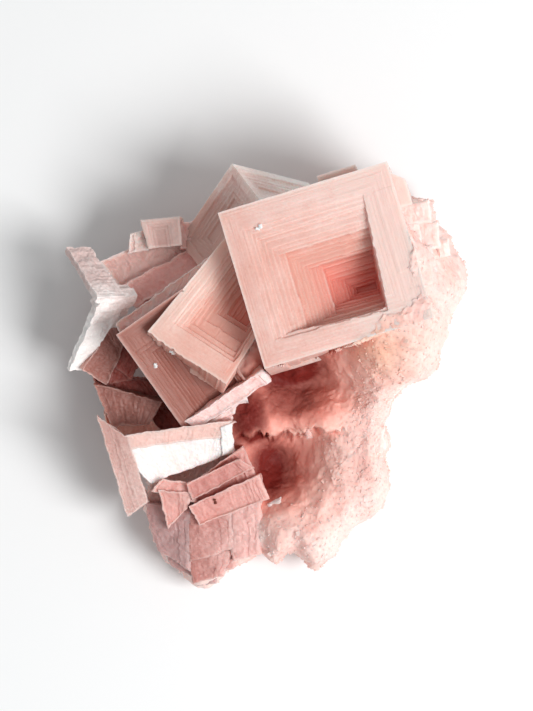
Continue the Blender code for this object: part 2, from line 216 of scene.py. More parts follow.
def shallow_sides(seed, depth=1.3, ribbing=0.10):
    """Side faces with a low stepped recess, the same on all four sides."""

    def side(a, d, length):
        deep = d.max()
        start, end = 0.10 * length, 0.34 * length
        walls = [
            even_stairs(a, start, end, 4, depth, seed + 1, d),
            even_stairs(length - a, start, end, 4, depth, seed + 2, d),
            even_stairs(d, 0.12 * deep, 0.38 * deep, 4, depth, seed + 3, a),
        ]
        edge = np.minimum(np.minimum(a, length - a), np.minimum(d, deep - d))
        fade = np.clip(edge / 0.5, 0, 1)
        return fade * (np.minimum.reduce(walls) + ribbing * noise(d * 2.4, a * 0.12, seed))

    return side


LARGE_SIZE = (35.0, 32.4, 20.0)
LARGE_FACE = (11.8, 21.4, 37.0)
LARGE_AXES = lattice(16.9, 5.5, 135.0)


def large_pit(p, q):
    """The least of four walls of steps, measured from the left, right, lower and upper rims, with low
    ribs on the rims and a raised strip by the right rim."""
    width, height = LARGE_SIZE[:2]
    top = height - q
    left = (
        even_stairs(p, 3.4, 9.6, 9, 1.9, 3, q, 0.3)
        + stairs(p, (10.4, 16.6), (1.1, 3.2), q, 0.3, seed=11)
        + even_stairs(p, 11.1, 15.6, 8, 3.0, 7, q, 0.3)
        + even_stairs(p, 17.2, 21.6, 8, 3.5, 9, q, 0.3)
    )
    upper = (
        even_stairs(top, 4.8, 10.4, 7, 1.5, 11, p, 0.3)
        + stairs(top, (11.4, 15.4), (1.1, 3.2), p, 0.3, seed=23)
        + even_stairs(top, 12.1, 14.8, 4, 2.0, 13, p, 0.3)
        + even_stairs(top, 16.2, 21.4, 8, 4.9, 15, p, 0.3)
    )
    lean = 2.4 * np.clip(top / height, 0, 1)
    right = stairs(
        width - p - lean, (6.0, 6.35, 6.7, 7.1, 7.5), (1.2, 4.5, 7.6, 10.4, 11.6), q, 0.3, seed=31
    )
    slant = 1.3 * np.clip(p / width, 0, 1)
    lower = (
        stairs(q + slant, (5.0, 5.5), (0.5, 3.0), p, 0.4, seed=43)
        + even_stairs(q + slant, 6.2, 10.6, 8, 8.6, 47, p)
    )
    depth = np.minimum.reduce([left, upper, right, lower])
    strip = (p > 30.6) & (p < 34.6) & (top > 5.0) & (top < 22.0)
    rim = np.minimum(np.minimum(p, width - p), np.minimum(q, top))
    run = np.where(np.minimum(p, width - p) < np.minimum(q, top), q, p)
    return depth + ribs(rim, run, 0.07) - 0.06 * strip * (rim > 0.2)


class Value:
    """A shader value that can be added, multiplied and so on. Each operation is a Math node."""

    def __init__(self, tree, socket):
        self.tree, self.socket = tree, socket

    def _math(self, operation, *others):
        node = self.tree.nodes.new("ShaderNodeMath")
        node.operation = operation
        for slot, item in zip(node.inputs, others):
            if isinstance(item, Value):
                self.tree.links.new(item.socket, slot)
            else:
                slot.default_value = item
        return Value(self.tree, node.outputs[0])

    def __add__(self, other):
        return self._math("ADD", self, other)

    def __sub__(self, other):
        return self._math("SUBTRACT", self, other)

    def __rsub__(self, other):
        return self._math("SUBTRACT", other, self)

    def __mul__(self, other):
        return self._math("MULTIPLY", self, other)

    def clamped(self):
        """The value kept between 0 and 1."""
        return self._math("MINIMUM", self._math("MAXIMUM", self, 0.0), 1.0)

    __radd__, __rmul__ = __add__, __mul__


class Finish:
    """A material and its node tree."""

    def __init__(self, name):
        self.material = bpy.data.materials.new(name)
        self.material.use_nodes = True
        self.tree = self.material.node_tree
        self.principled = self.tree.nodes["Principled BSDF"]

    def node(self, kind, settings=None, sockets=None):
        """A node of a kind, with its settings and then the values or links of its sockets."""
        made = self.tree.nodes.new(kind)
        for key, setting in (settings or {}).items():
            setattr(made, key, setting)
        for key, item in (sockets or {}).items():
            self.feed(made.inputs[key], item)
        return made

    def feed(self, slot, item):
        if isinstance(item, Value):
            self.tree.links.new(item.socket, slot)
        elif isinstance(item, bpy.types.NodeSocket):
            self.tree.links.new(item, slot)
        else:
            slot.default_value = item

    def mark(self, name):
        made = self.node("ShaderNodeAttribute", {"attribute_name": name})
        return Value(self.tree, made.outputs["Fac"])

    def noise(self, vector, scale, detail=2.0, roughness=0.5):
        sockets = {"Vector": vector, "Scale": scale, "Detail": detail, "Roughness": roughness}
        return Value(self.tree, self.node("ShaderNodeTexNoise", None, sockets).outputs["Fac"])

    def place(self):
        return self.node("ShaderNodeTexCoord").outputs["Object"]

    def vector(self, x, y, z):
        return self.node("ShaderNodeCombineXYZ", None, {"X": x, "Y": y, "Z": z}).outputs[0]

    def mix(self, factor, a, b):
        made = self.node("ShaderNodeMix", {"data_type": "RGBA"})
        for slot, item in zip((made.inputs[0], made.inputs[6], made.inputs[7]), (factor, a, b)):
            self.feed(slot, item)
        return made.outputs[2]


def rgb(red, green, blue):
    """A colour of the screen, 0 to 255, as the linear colour that a shader takes."""
    made = [((c / 255 + 0.055) / 1.055) ** 2.4 for c in (red, green, blue)]
    return (*made, 1.0)


def halite(
    name, pale, salmon, deep, reach, floor_reach, ribbing=0.35, glow=0.45, frost_and_highlight=0.3, drift=(0, 0, 0)
):
    """Frosted halite: pale on rims and lips, salmon on treads, and deep in what lies more than reach
    below the face. The salmon and deep colours that follow depth are the pit's own tint with painted
    shade added in the recesses. The ribs follow the rim, light spreads a little under the surface, and
    the frost argument sets how much the edges are whitened: frosted rims together with a painted
    highlight on the raised lips of the steps. drift adds salmon by its first two numbers for each metre
    along x and y, and its third."""
    finish = Finish(name)
    sink, band, run, lip = (finish.mark(mark) for mark in MARKS)
    place = finish.place()
    cloud = finish.noise(place, 160.0, 3.0)
    grain = finish.noise(place, 1900.0, 2.0, 0.6)
    streak = finish.noise(finish.vector(band * 2.6, run * 0.09, sink * 1.4), 1.0, 3.0, 0.6)
    fine = finish.noise(finish.vector(band * 9.0, run * 0.22, sink * 5.0), 1.0, 2.0, 0.6)
    across = finish.node("ShaderNodeSeparateXYZ", None, {0: place})
    east, north = (Value(finish.tree, across.outputs[k]) for k in (0, 1))
    warm = east * drift[0] + north * drift[1]
    # Salmon that grows with depth here, and the deep colour below: the pit's own tint, with painted shade
    # added in the recesses.
    tone = sink * (1 / reach) + (cloud - 0.5) * 1.1 + (streak - 0.5) * ribbing * 2.0
    tone = tone + warm + (grain - 0.5) * 0.7 + (0.25 + drift[2])
    colour = finish.mix(tone.clamped(), pale, salmon)
    low = (sink - reach) * (1 / floor_reach)
    colour = finish.mix(low.clamped(), colour, deep)
    # Whitened rims and step lips: frosted rims together with a painted highlight where the relief stands out.
    edge = (1 - band * 1.6).clamped() * frost_and_highlight + (lip * 1.2 + (fine - 0.5) * 0.7).clamped() * (frost_and_highlight + 0.05)
    white = (1.0, 0.90, 0.86, 1.0)
    colour = finish.mix(edge.clamped(), colour, white)
    finish.feed(finish.principled.inputs["Base Color"], colour)
    rough = 0.42 + (grain - 0.5) * 0.3 + (fine - 0.5) * 0.2
    finish.feed(finish.principled.inputs["Roughness"], rough.clamped())
    height = fine * 0.6 + grain * 0.5 + streak * 0.8
    bump = finish.node("ShaderNodeBump", None, {"Strength": 0.35, "Distance": 0.0002, "Height": height})
    finish.feed(finish.principled.inputs["Normal"], bump.outputs["Normal"])
    shader = finish.principled.inputs
    shader["Subsurface Weight"].default_value = glow
    shader["Subsurface Radius"].default_value = (1.0, 0.5, 0.42)
    shader["Subsurface Scale"].default_value = 0.0035
    shader["Specular IOR Level"].default_value = 0.28
    return finish.material


def finished(obj, material, node):
    """Gives a piece its material and its place on the one body, and hides the solid that it stands for."""
    obj.data.materials.append(material)
    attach(obj, "root")
    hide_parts(node)
    return obj


# More salmon towards the left and the bottom of the face: painted shade, as less light reaches there.
LARGE_HALITE = halite(
    "large_halite", rgb(240, 208, 199), rgb(223, 167, 153), rgb(226, 130, 117),
    4.0, 6.5, drift=(-24, -8, 0.38),
)
large = crystal(
    "large_hopper",
    LARGE_FACE,
    LARGE_AXES,
    LARGE_SIZE,
    (0.17, 0.6),
    large_pit,
    shallow_sides(5),
)
finished(large, LARGE_HALITE, "large_hopper_crystal")


def bevelled(p, q, r):
    """The upper side comes down towards the right by a third."""
    return p, q * (1 - 0.36 * np.clip((p - 1.0) / 3.8, 0, 1)), r


for name, face, size, shape in (
    ("top_step", (14.6, 37.9, 33.5), (8.0, 5.0, 9.0), None),
    ("corner_step", (25.6, 36.8, 34.0), (4.8, 8.2, 12.0), bevelled),
):
    step = crystal(name, face, LARGE_AXES, size, (0.3, 0.5), None, shallow_sides(9, 0.4), shape, wear=0.12)
    finished(step, LARGE_HALITE, "large_hopper_crystal")

# The middle hopper. A longer cube of the same salmon halite that dives under the large one. Its lower
# left rim is broken, and its pit goes down in low steps towards the large crystal.

MIDDLE_SIZE = (18.8, 30.0, 12.0)


def middle_pit(p, q):
    """The least of four walls of low steps, with a raised block inside the lower rim."""
    width, height = MIDDLE_SIZE[:2]
    left = even_stairs(p, 2.8, 13.5, 14, 4.2, 3, q, 0.3)
    right = even_stairs(width - p, 1.0, 3.0, 4, 4.2, 7, q, 0.3)
    lower = stairs(q, (4.8, 5.6, 6.8, 9.0, 11.5, 12.6), (0.5, 1.0, 1.5, 2.1, 2.9, 4.2), p, 0.6, seed=13)
    upper = even_stairs(height - q, 3.0, 8.0, 6, 4.2, 17, p, 0.3)
    rim = np.minimum(np.minimum(p, width - p), np.minimum(q, height - q))
    run = np.where(np.minimum(p, width - p) < np.minimum(q, height - q), q, p)
    return np.minimum.reduce([left, right, lower, upper]) + ribs(rim, run, 0.07, 5)


def middle_break(p, q, r):
    """The lower left edge moved in by a jagged millimetre near its left end, and the upper left one
    inwards by a ninth of the way across."""
    jag = 1.5 * noise(p * 1.1, 3.0) * np.clip(1 - p / 7.5, 0, 1) + 0.25 * noise(p * 2.3, 9.0)
    return p + 0.11 * q * (1 - p / MIDDLE_SIZE[0]), q + jag * np.clip(1 - q / 3.0, 0, 1), r


# The deep colour is lighter and redder than the salmon: painted glow in the part of the pit that lies in the
# large crystal's shadow.
MIDDLE_HALITE = halite(
    "middle_halite", rgb(240, 204, 192), rgb(222, 164, 149), rgb(250, 150, 132),
    2.4, 3.4, drift=(0, -40, 0.5),
)
middle = crystal(
    "middle_hopper",
    (-7.9, 15.2, 29.5),
    lattice(-32.4, 10.0, 70.0),
    MIDDLE_SIZE,
    (0.17, 0.5),
    middle_pit,
    shallow_sides(15, 0.8),
    middle_break,
)
finished(middle, MIDDLE_HALITE, "left_hopper_crystals")

# The left hopper. A broad cube of browner halite under the middle one, whose face leans to the lower
# right. The face is a low ribbed floor inside a wide ribbed rim.

LEFT_SIZE = (27.8, 16.0, 15.4)


def left_pit(p, q):
    """The least of four walls of steps to a wide floor."""
    width, height = LEFT_SIZE[:2]
    left = even_stairs(p, 5.4, 8.6, 4, 2.5, 3, q, 0.3)
    right = even_stairs(width - p, 1.6, 3.0, 3, 2.4, 7, q, 0.3)
    lower = even_stairs(q, 0.9, 7.2, 10, 2.4, 61, p, 0.2)
    upper = even_stairs(height - q, 0.6, 1.8, 3, 2.4, 17, p, 0.3)
    rim = np.minimum(np.minimum(p, width - p), np.minimum(q, height - q))
    run = np.where(np.minimum(p, width - p) < np.minimum(q, height - q), q, p)
    return np.minimum.reduce([left, right, lower, upper]) + ribs(rim, run, 0.10, 8)


def left_foot(p, q, r):
    """The sides go straight down, though the face leans by 26 degrees: the foot moves along by tan 26."""
    return p + 0.488 * (LEFT_SIZE[2] - r), q, r


LEFT_HALITE = halite(
    "left_halite", rgb(162, 113, 102), rgb(152, 95, 83), rgb(146, 82, 72), 2.5, 5.0, frost_and_highlight=0.18
)
left = crystal(
    "left_hopper",
    (-16.11, 1.94, 23.97),
    lattice(-55.0, 26.0, -56.0),
    LEFT_SIZE,
    (0.2, 0.4),
    left_pit,
    shallow_sides(25, 1.0, 0.25),
    left_foot,
)
finished(left, LEFT_HALITE, "left_hopper_crystals")

# The shelf and the knob. A lower crystal against the upper left side of the left hopper, and the small
# cube that sits on it, with square rings on its face.

PICTURE_MIDDLE = (266.5, 355.5)
PIXEL = 0.2  # at the height of FOCUS
FOCUS, EYE = 24.0, 1200.0
CAMERA_AIM = (0.1, 3.5)


def seen(column, row, height):
    """The point at a height that shows at a pixel of the photo."""
    scale = PIXEL * (EYE - (height - FOCUS)) / EYE
    x = CAMERA_AIM[0] + (column - PICTURE_MIDDLE[0]) * scale
    y = CAMERA_AIM[1] - (row - PICTURE_MIDDLE[1]) * scale
    return np.array((x, y, height))


def leaning(corners, through, tilt, toward):
    """Pixels of the photo as points on the plane through a given pixel and height that leans by tilt
    towards the compass angle toward. Three rounds settle the heights."""
    slope = math.tan(math.radians(tilt))
    fall = slope * np.array((math.cos(math.radians(toward)), math.sin(math.radians(toward))))
    start = seen(*through)
    heights = np.full(len(corners), through[2])
    for _ in range(3):
        points = np.array([seen(*corner, z) for corner, z in zip(corners, heights)])
        heights = through[2] - (points - start)[:, :2] @ fall
    return np.array([seen(*corner, z) for corner, z in zip(corners, heights)])


def slab(name, corners, height, lean, thickness, spacing=(0.2, 0.3), soft=0.45, shift=(0.0, 0.0), **look):
    """A crystal whose upper face has four given corners, anticlockwise in the photo's pixels, on a plane
    with a lean (tilt, toward). height is that of the middle of the face, or a pixel with its height. Its
    sides go straight down from the face, shift moves its foot, and soft is the radius of its rims."""
    through = height if isinstance(height, tuple) else (*np.mean(corners, axis=0), height)
    top = leaning(corners, through, *lean)
    normal = np.cross(top[1] - top[0], top[3] - top[0])
    normal /= np.linalg.norm(normal)
    foot = top - thickness * normal + np.array((*shift, 0.0))
    length = (np.linalg.norm(top[1] - top[0]) + np.linalg.norm(top[2] - top[3])) / 2
    width = (np.linalg.norm(top[3] - top[0]) + np.linalg.norm(top[2] - top[1])) / 2
    size = (length, width, thickness)

    def shape(p, q, r):
        """Blends the eight corners, with the rims rounded by a quarter of a circle."""
        edge = np.minimum(np.minimum(p, length - p), np.minimum(q, width - q))
        short = 1 - np.clip(edge / soft, 0, 1)
        r = r - soft * (1 - np.sqrt(1 - 0.98 * short**2)) * (r / thickness) ** 6
        u, v, w = p / length, q / width, r / thickness
        parts = []
        for k in range(3):
            rows = []
            for low in (foot, top):
                near = low[0, k] * (1 - u) + low[1, k] * u
                far = low[3, k] * (1 - u) + low[2, k] * u
                rows.append(near * (1 - v) + far * v)
            parts.append(rows[0] * (1 - w) + rows[1] * w)
        return parts

    middle = np.array((length / 2, width / 2, thickness))
    return crystal(name, middle, np.eye(3), size, spacing, shape=shape, **look)


SHELF_HALITE = halite(
    "shelf_halite", rgb(242, 218, 211), rgb(228, 189, 181), rgb(196, 140, 132), 1.6, 3.0, frost_and_highlight=0.18
)
SLOPE_HALITE = halite(
    "slope_halite", rgb(252, 204, 196), rgb(240, 178, 170), rgb(205, 140, 132), 1.6, 3.0, frost_and_highlight=0.16
)
# A lighter copy of slope_halite for the shelf slope: painted light, to lift it out of the middle hopper's
# shadow.
SIDE_HALITE = halite("side_halite", rgb(255, 224, 216), rgb(252, 200, 192), rgb(205, 140, 132), 1.6, 3.0)
KNOB_HALITE = halite(
    "knob_halite", rgb(218, 188, 180), rgb(198, 160, 152), rgb(176, 130, 122), 0.6, 3.0, frost_and_highlight=0.38
)
KNOB_SIZE = (8.0, 6.6, 9.0)


def knob_rings(p, q):
    """Two low square rings: the least of four walls of two steps."""
    width, height = KNOB_SIZE[:2]
    walls = [(p, q), (width - p, q), (q, p), (height - q, p)]
    steps = [stairs(x, (1.0, 1.5, 2.2), (0.12, 0.28, 0.4), y, 0.4, seed=3) for x, y in walls]
    return np.minimum.reduce(steps)


def terraces(places, depths, wobble=0.4, ribbing=0.15, ends=0.5, seed=0):
    """Relief that goes down in steps across a face from its far rim, with ribs along it."""

    def relief(p, q):
        far = q.max() - q
        edge = np.minimum(np.minimum(p, p.max() - p), np.minimum(q, far))
        fade = np.clip(edge / ends, 0, 1)
        steps = stairs(far, places, depths, p, wobble, seed=seed)
        coarse = ribbing * noise(q * 2.1, p * 0.12, seed)
        fine = 0.5 * ribbing * noise(q * 4.3, p * 0.3, 7.0)
        return fade * (steps + coarse + fine)

    return relief


for name, corners, height, lean, thickness, material, relief in (
    ("shelf", ((100, 261), (122, 292), (222, 244), (194, 221)), 17.0, (8, 125), 9.0, SHELF_HALITE,
     terraces((1.4, 3.0, 4.4, 6.4), (0.2, 0.45, 0.8, 1.1), seed=71)),
    ("shelf_band", ((117, 287), (136, 306), (214, 258), (200, 243)), 18.6, (12, 120), 9.0, SLOPE_HALITE,
     terraces((0.8, 1.8, 2.8), (0.15, 0.4, 0.6), seed=73)),
    ("shelf_slope", ((117, 322), (119, 336), (192, 290), (208, 258)), 26.0, (6, 120), 11.0, SIDE_HALITE,
     terraces((1.0, 2.0, 3.2), (0.2, 0.4, 0.7), seed=74)),
    ("shelf_end", ((131, 233), (127, 254), (148, 250), (143, 231)), 17.6, (8, 150), 7.0, SHELF_HALITE,
     terraces((2.0,), (0.3,), seed=75)),
    ("knob_side", ((180, 221), (180, 248), (208, 252), (196, 221)), 18.4, (8, 100), 7.0, SLOPE_HALITE,
     terraces((1.4, 2.8), (0.2, 0.4), seed=77)),
):
    piece = slab(
        name, corners, height, lean, thickness,
        relief=relief, side_relief=shallow_sides(35, 0.5), wear=0.42,
    )
    finished(piece, material, "left_hopper_crystals")
knob = slab(
    "knob",
    ((140, 220), (148, 249), (182, 245), (180, 216)),
    20.0,
    (5, 150),
    8.0,
    (0.18, 0.3),
    relief=knob_rings,
    side_relief=shallow_sides(45, 0.3),
    wear=0.12,
)
finished(knob, KNOB_HALITE, "left_hopper_crystals")

# The wing. The corner of a cube whose edges grew out as arms: one to the top left, one to the right
# and the longest down to the lower left, in frosted halite, with a ribbed web behind it. It is painted
# white towards the bottom and greyer salmon towards the top: painted light on the lower arm that
# faces the lamp, and painted shade on the upper arm that faces away.

def edges_from_slopes(headings, slopes):
    """Three edges at right angles that leave a corner in right-handed order, from the compass headings
    and downward slopes of the first two."""
    wanted = []
    for heading, slope in zip(headings, slopes):
        h = math.radians(heading)
        edge = np.array((math.cos(h), math.sin(h), -slope))
        wanted.append(edge / np.linalg.norm(edge))
    first = wanted[0]
    second = wanted[1] - first * (wanted[1] @ first)
    second /= np.linalg.norm(second)
    return np.array((first, second, np.cross(first, second)))


def cornered(name, tip, edges, size, spacing, **look):
    """A crystal placed by one corner and the three edges that leave it."""
    face = np.array(tip) + edges[0] * (size[0] / 2) + edges[1] * (size[1] / 2) + edges[2] * size[2]
    return crystal(name, face, edges, size, spacing, **look)


def corner_block(name, tip, edges, size, inset=0.0, taper=None, **look):
    """A cuboid that fills a corner whose three edges all go down from the tip, in right-handed order.
    size is along each edge, and inset is how far it stands back. taper (edge, share) narrows it to a
    share of its section at the far end of that edge."""
    start = np.array(tip) + edges.sum(axis=0) * inset
    face = start + edges[0] * (size[0] / 2) + edges[1] * (size[1] / 2)
    axes = np.array((edges[1], edges[0], -edges[2]))

    def shape(p, q, r):
        """The coordinates across the tapered edge, scaled towards that edge."""
        places = [q, p, size[2] - r]
        if taper:
            which, share = taper
            scale = 1 - (1 - share) * places[which] / size[which]
            places = [x if k == which else x * scale for k, x in enumerate(places)]
        return places[1], places[0], size[2] - places[2]

    return crystal(name, face, axes, (size[1], size[0], size[2]), (0.2, 0.2), shape=shape, **look)


# White towards the bottom, greyer salmon towards the top: painted light and painted shade on the arms that
# face towards and away from the lamp.
WING_HALITE = halite(
    "wing_halite", rgb(255, 249, 246), rgb(216, 190, 185), rgb(200, 150, 140),
    2.4, 3.0, glow=0.05, drift=(0, 90, -1.25),
)
# Dark, and darker towards the left hopper on its right: largely painted shade under that hopper's overhang.
WALL_HALITE = halite(
    "wall_halite", rgb(220, 174, 165), rgb(160, 108, 98), rgb(130, 74, 66),
    1.6, 3.0, glow=0.2, frost_and_highlight=0.08, drift=(60, 0, 2.1),
)
WING_TIP = (-32.7, 15.2, 27.4)
WING_EDGES = edges_from_slopes((122.5, 4.0), (0.761, 0.695))
for name, size, aside, inset, taper, ribbing in (
    ("wing_arm_1", (15.0, 6.6, 1.5), -1.0, 0.0, (0, 0.84), 0.12),
    ("wing_arm_2", (2.7, 8.4, 3.8), 0.0, 0.1, (1, 0.85), 0.12),
    ("wing_arm_3", (1.9, 6.8, 20.0), 0.0, 0.2, (2, 0.52), 0.12),
    ("wing_web", (3.4, 5.8, 8.5), 2.0, 1.0, None, 0.3),
):
    piece = corner_block(
        name, WING_TIP + WING_EDGES[1] * aside, WING_EDGES, size, inset, taper,
        relief=terraces((), (), ribbing=ribbing, seed=79),
        side_relief=shallow_sides(49, 0.2, ribbing), wear=0.35,
    )
    finished(piece, WING_HALITE, "left_hopper_crystals")

# The double ridge, the dark piece and the wall under the wing. Rims of crystals that are mostly hidden
# under the left hopper; between the wall and the hopper there is an open hole. The dark red slabs in
# the gaps round the hole and under the hopper (shade_wall, shade_bridge, shade_side, dark_corner)
# stand for the shade in those gaps: their colour is painted shade.

RIDGE_HALITE = halite(
    "ridge_halite", rgb(255, 232, 228), rgb(247, 202, 197), rgb(214, 146, 142), 1.4, 3.0, frost_and_highlight=0.2
)
BROWN_HALITE = halite(
    "brown_halite", rgb(226, 162, 148), rgb(206, 140, 124), rgb(150, 90, 78), 1.6, 3.0, frost_and_highlight=0.1
)
DARK_HALITE = halite(
    "dark_halite", rgb(168, 118, 108), rgb(144, 93, 83), rgb(120, 66, 58), 1.6, 3.0, frost_and_highlight=0.1
)
# Dark red halite for the slabs in the shaded gaps between the crystals under the left hopper: painted shade.
PAINTED_SHADE_HALITE = halite(
    "painted_shade_halite", rgb(176, 96, 86), rgb(150, 70, 62), rgb(110, 40, 36), 1.6, 3.0, frost_and_highlight=0.1
)
for name, corners, height, lean, thickness, material, places, depths in (
    ("ridge_upper", ((184, 423), (200, 428), (272, 381), (263, 370)), 19.6, (20, -62), 10.0, RIDGE_HALITE,
     (1.1, 1.9), (0.35, 0.7)),
    ("ridge_lower", ((200, 440), (256, 414), (244, 393), (190, 424)), 17.5, (10, -66), 10.0, RIDGE_HALITE,
     (1.2, 2.4, 3.6), (0.3, 0.8, 1.2)),
    ("dark_block", ((94, 385), (112, 428), (148, 425), (163, 402)), 13.9, (12, -80), 9.0, DARK_HALITE,
     (1.0, 2.1, 3.2), (0.15, 0.3, 0.5)),
    ("dark_step", ((104, 414), (110, 446), (166, 440), (152, 418)), 12.6, (8, -80), 7.0, BROWN_HALITE,
     (1.2, 2.6), (0.3, 0.6)),
    ("dark_corner", ((140, 412), (150, 440), (192, 432), (172, 404)), 9.8, (6, 60), 6.0, PAINTED_SHADE_HALITE,
     (1.2, 2.6), (0.3, 0.6)),
    ("wing_wall", ((84, 371), (107, 386), (127, 344), (118, 317)), 15.4, (36, -38), 5.0, WALL_HALITE,
     (0.8, 1.6, 2.4, 3.2), (0.15, 0.3, 0.5, 0.9)),
    ("shade_wall", ((107, 372), (105, 386), (131, 380), (134, 356)), 11.2, (14, -60), 5.0, PAINTED_SHADE_HALITE,
     (1.0,), (0.2,)),
    ("shade_bridge", ((90, 373), (98, 392), (170, 410), (148, 381)), 10.4, (8, -60), 5.0, PAINTED_SHADE_HALITE,
     (1.2, 2.6), (0.3, 0.6)),
    ("shade_side", ((122, 340), (113, 366), (130, 380), (140, 366)), 12.6, (10, -90), 4.0, PAINTED_SHADE_HALITE,
     (1.0,), (0.2,)),
):
    piece = slab(
        name, corners, height, lean, thickness,
        relief=terraces(places, depths, seed=81), side_relief=shallow_sides(55, 0.4), wear=0.4,
    )
    finished(piece, material, "left_hopper_crystals")

# The back crystal. The corner of a cube behind the large one, with its three faces set back in steps
# behind pale edges.

BACK_SIZE = (20.0, 21.7, 12.0)


def back_face(p, q):
    """The least of four walls of low steps."""
    width, height = BACK_SIZE[:2]
    walls = [(p, q), (width - p, q), (q, p), (height - q, p)]
    return np.minimum.reduce([even_stairs(x, 1.6, 6.0, 4, 2.4, 5, y, 0.3) for x, y in walls])


def back_sides(a, d, length):
    """Side faces with low steps behind a narrow pale edge."""
    deep = d.max()
    walls = [(a, d), (length - a, d), (d, a), (deep - d, a)]
    steps = np.minimum.reduce([even_stairs(x, 1.5, 4.6, 5, 1.3, 9, y, 0.25) for x, y in walls])
    edge = np.minimum.reduce([x for x, _ in walls])
    return steps + ribs(edge, a, 0.05, 4)


# More salmon and greyer towards the left and the bottom: painted shade on the faces turned from the lamp.
BACK_HALITE = halite(
    "back_halite", rgb(255, 246, 241), rgb(218, 176, 165), rgb(170, 112, 98),
    4.0, 3.0, frost_and_highlight=0.2, drift=(-60, -25, 0.88),
)
back = cornered(
    "back_cube",
    (-6.8, 41.9, 24.0),
    edges_from_slopes((-124.8, -12.4), (0.402, 0.942)),
    BACK_SIZE,
    (0.2, 0.2),
    relief=back_face,
    side_relief=back_sides,
)
finished(back, BACK_HALITE, "back_crystal")

# The lower crystals. A bright plate with an arm down its left side, the rods of a stepped block beside
# it, and a small three-armed corner under it.

PLATE_LEAN = (34, -62)
PLATE_PLACE = (172, 451, 19.0)
ROD_LEAN = (18, -62)
ROD_PLACE = (228, 499, 16.6)
PLATE_HALITE = halite(
    "plate_halite", rgb(255, 248, 246), rgb(252, 230, 225), rgb(236, 196, 190), 1.6, 4.0
)
ARM_HALITE = halite(
    "arm_halite", rgb(232, 206, 199), rgb(190, 150, 142), rgb(180, 130, 122),
    1.6, 4.0, frost_and_highlight=0.2, drift=(0, 40, 1.2),
)
BAND_HALITE = halite("band_halite", rgb(238, 202, 193), rgb(226, 180, 170), rgb(196, 140, 132), 1.6, 4.0)
ROD_HALITE = halite(
    "rod_halite", rgb(230, 182, 174), rgb(214, 150, 141), rgb(176, 104, 96), 1.6, 4.0, frost_and_highlight=0.14
)
GROOVE_HALITE = halite(
    "groove_halite", rgb(216, 162, 154), rgb(196, 130, 122), rgb(160, 90, 82), 1.6, 4.0, frost_and_highlight=0.14
)
for name, corners, height, lean, thickness, material, places, depths in (
    ("plate", ((112, 440), (150, 484), (221, 457), (232, 423)), PLATE_PLACE, PLATE_LEAN, 7.0, PLATE_HALITE,
     (0.9, 1.8, 2.6), (0.12, 0.25, 0.45)),
    ("plate_band", ((104, 438), (112, 452), (221, 437), (232, 420)), (172, 451, 19.3), PLATE_LEAN, 5.0,
     BAND_HALITE, (0.7, 1.4, 2.0), (0.1, 0.2, 0.3)),
    ("plate_arm", ((97, 416), (127, 517), (149, 502), (128, 438)), (172, 451, 19.5), PLATE_LEAN, 6.0,
     ARM_HALITE, (3.0, 4.4), (0.1, 0.25)),
    ("plate_end", ((221, 427), (222, 456), (235, 453), (232, 422)), (172, 451, 19.7),
     PLATE_LEAN, 6.0, PLATE_HALITE,
     (1.2,), (0.15,)),
    ("stepped_block", ((188, 486), (206, 520), (268, 499), (243, 446)), (228, 499, 15.2),
     ROD_LEAN, 10.0, GROOVE_HALITE,
     (1.0, 2.0, 3.0, 4.0), (0.2, 0.5, 0.8, 1.2)),
    ("rod", ((189, 506), (199, 525), (269, 499), (260, 474)), ROD_PLACE, ROD_LEAN, 6.0, ROD_HALITE,
     (0.6, 1.2, 1.9, 2.6, 3.2), (0.15, 0.3, 0.5, 0.62, 0.8)),
    ("rod_step", ((186, 484), (192, 500), (254, 468), (240, 458)), ROD_PLACE, ROD_LEAN, 6.0, GROOVE_HALITE,
     (0.6, 1.1, 1.7), (0.15, 0.3, 0.55)),
    ("star_ridge", ((162, 479), (151, 491), (197, 503), (192, 483)), 17.2, (14, -60), 4.0, ROD_HALITE,
     (0.8, 1.6), (0.15, 0.3)),
    ("star_spike", ((158, 490), (168, 529), (188, 508), (192, 492)), 16.6, (24, -80), 4.0, ROD_HALITE,
     (1.4, 2.4), (0.2, 0.4)),
):
    level = math.radians(lean[1])
    back = thickness * math.sin(math.radians(lean[0])) * np.array((math.cos(level), math.sin(level)))
    piece = slab(
        name, corners, height, lean, thickness, shift=back,
        relief=terraces(places, depths, ribbing=0.14, seed=91), side_relief=shallow_sides(75, 0.4), wear=0.3,
    )
    finished(piece, material, "lower_crystals")

# The granular matrix. The crust that the crystals grew on: a sugary mass of halite grains, cut flat
# below, with two hollows, a ledge between them and blocks at its lower end.

RIM = (
    (400, 185), (409, 200), (432, 201), (434, 222), (440, 232), (448, 236), (452, 252), (463, 268),
    (463, 290), (455, 301), (452, 315), (445, 322), (447, 335), (440, 345), (437, 365), (425, 378),
    (405, 382), (398, 392), (392, 400), (388, 415), (380, 425), (386, 430), (386, 450), (381, 456),
    (386, 466), (387, 490), (384, 502), (375, 514), (360, 524), (352, 533), (341, 540), (337, 553),
    (326, 562), (318, 569), (310, 566), (304, 556), (298, 552), (285, 552), (281, 560), (275, 562),
    (268, 556), (262, 549), (256, 556), (250, 560), (234, 567), (222, 575), (215, 583), (200, 586),
    (192, 583), (187, 573), (181, 568), (170, 566), (161, 557), (155, 545), (153, 532), (150, 518),
    (144, 507), (150, 470), (160, 430), (165, 380), (172, 330), (190, 270), (240, 215), (300, 200),
    (360, 190),
)
OUTLINE = np.array([seen(column, row, 11.0)[:2] for column, row in RIM])
HUB = np.array((6.5, -3.5))
MATRIX_TOP = 20.0
SHOULDER = 0.8
FOOT = 0.87
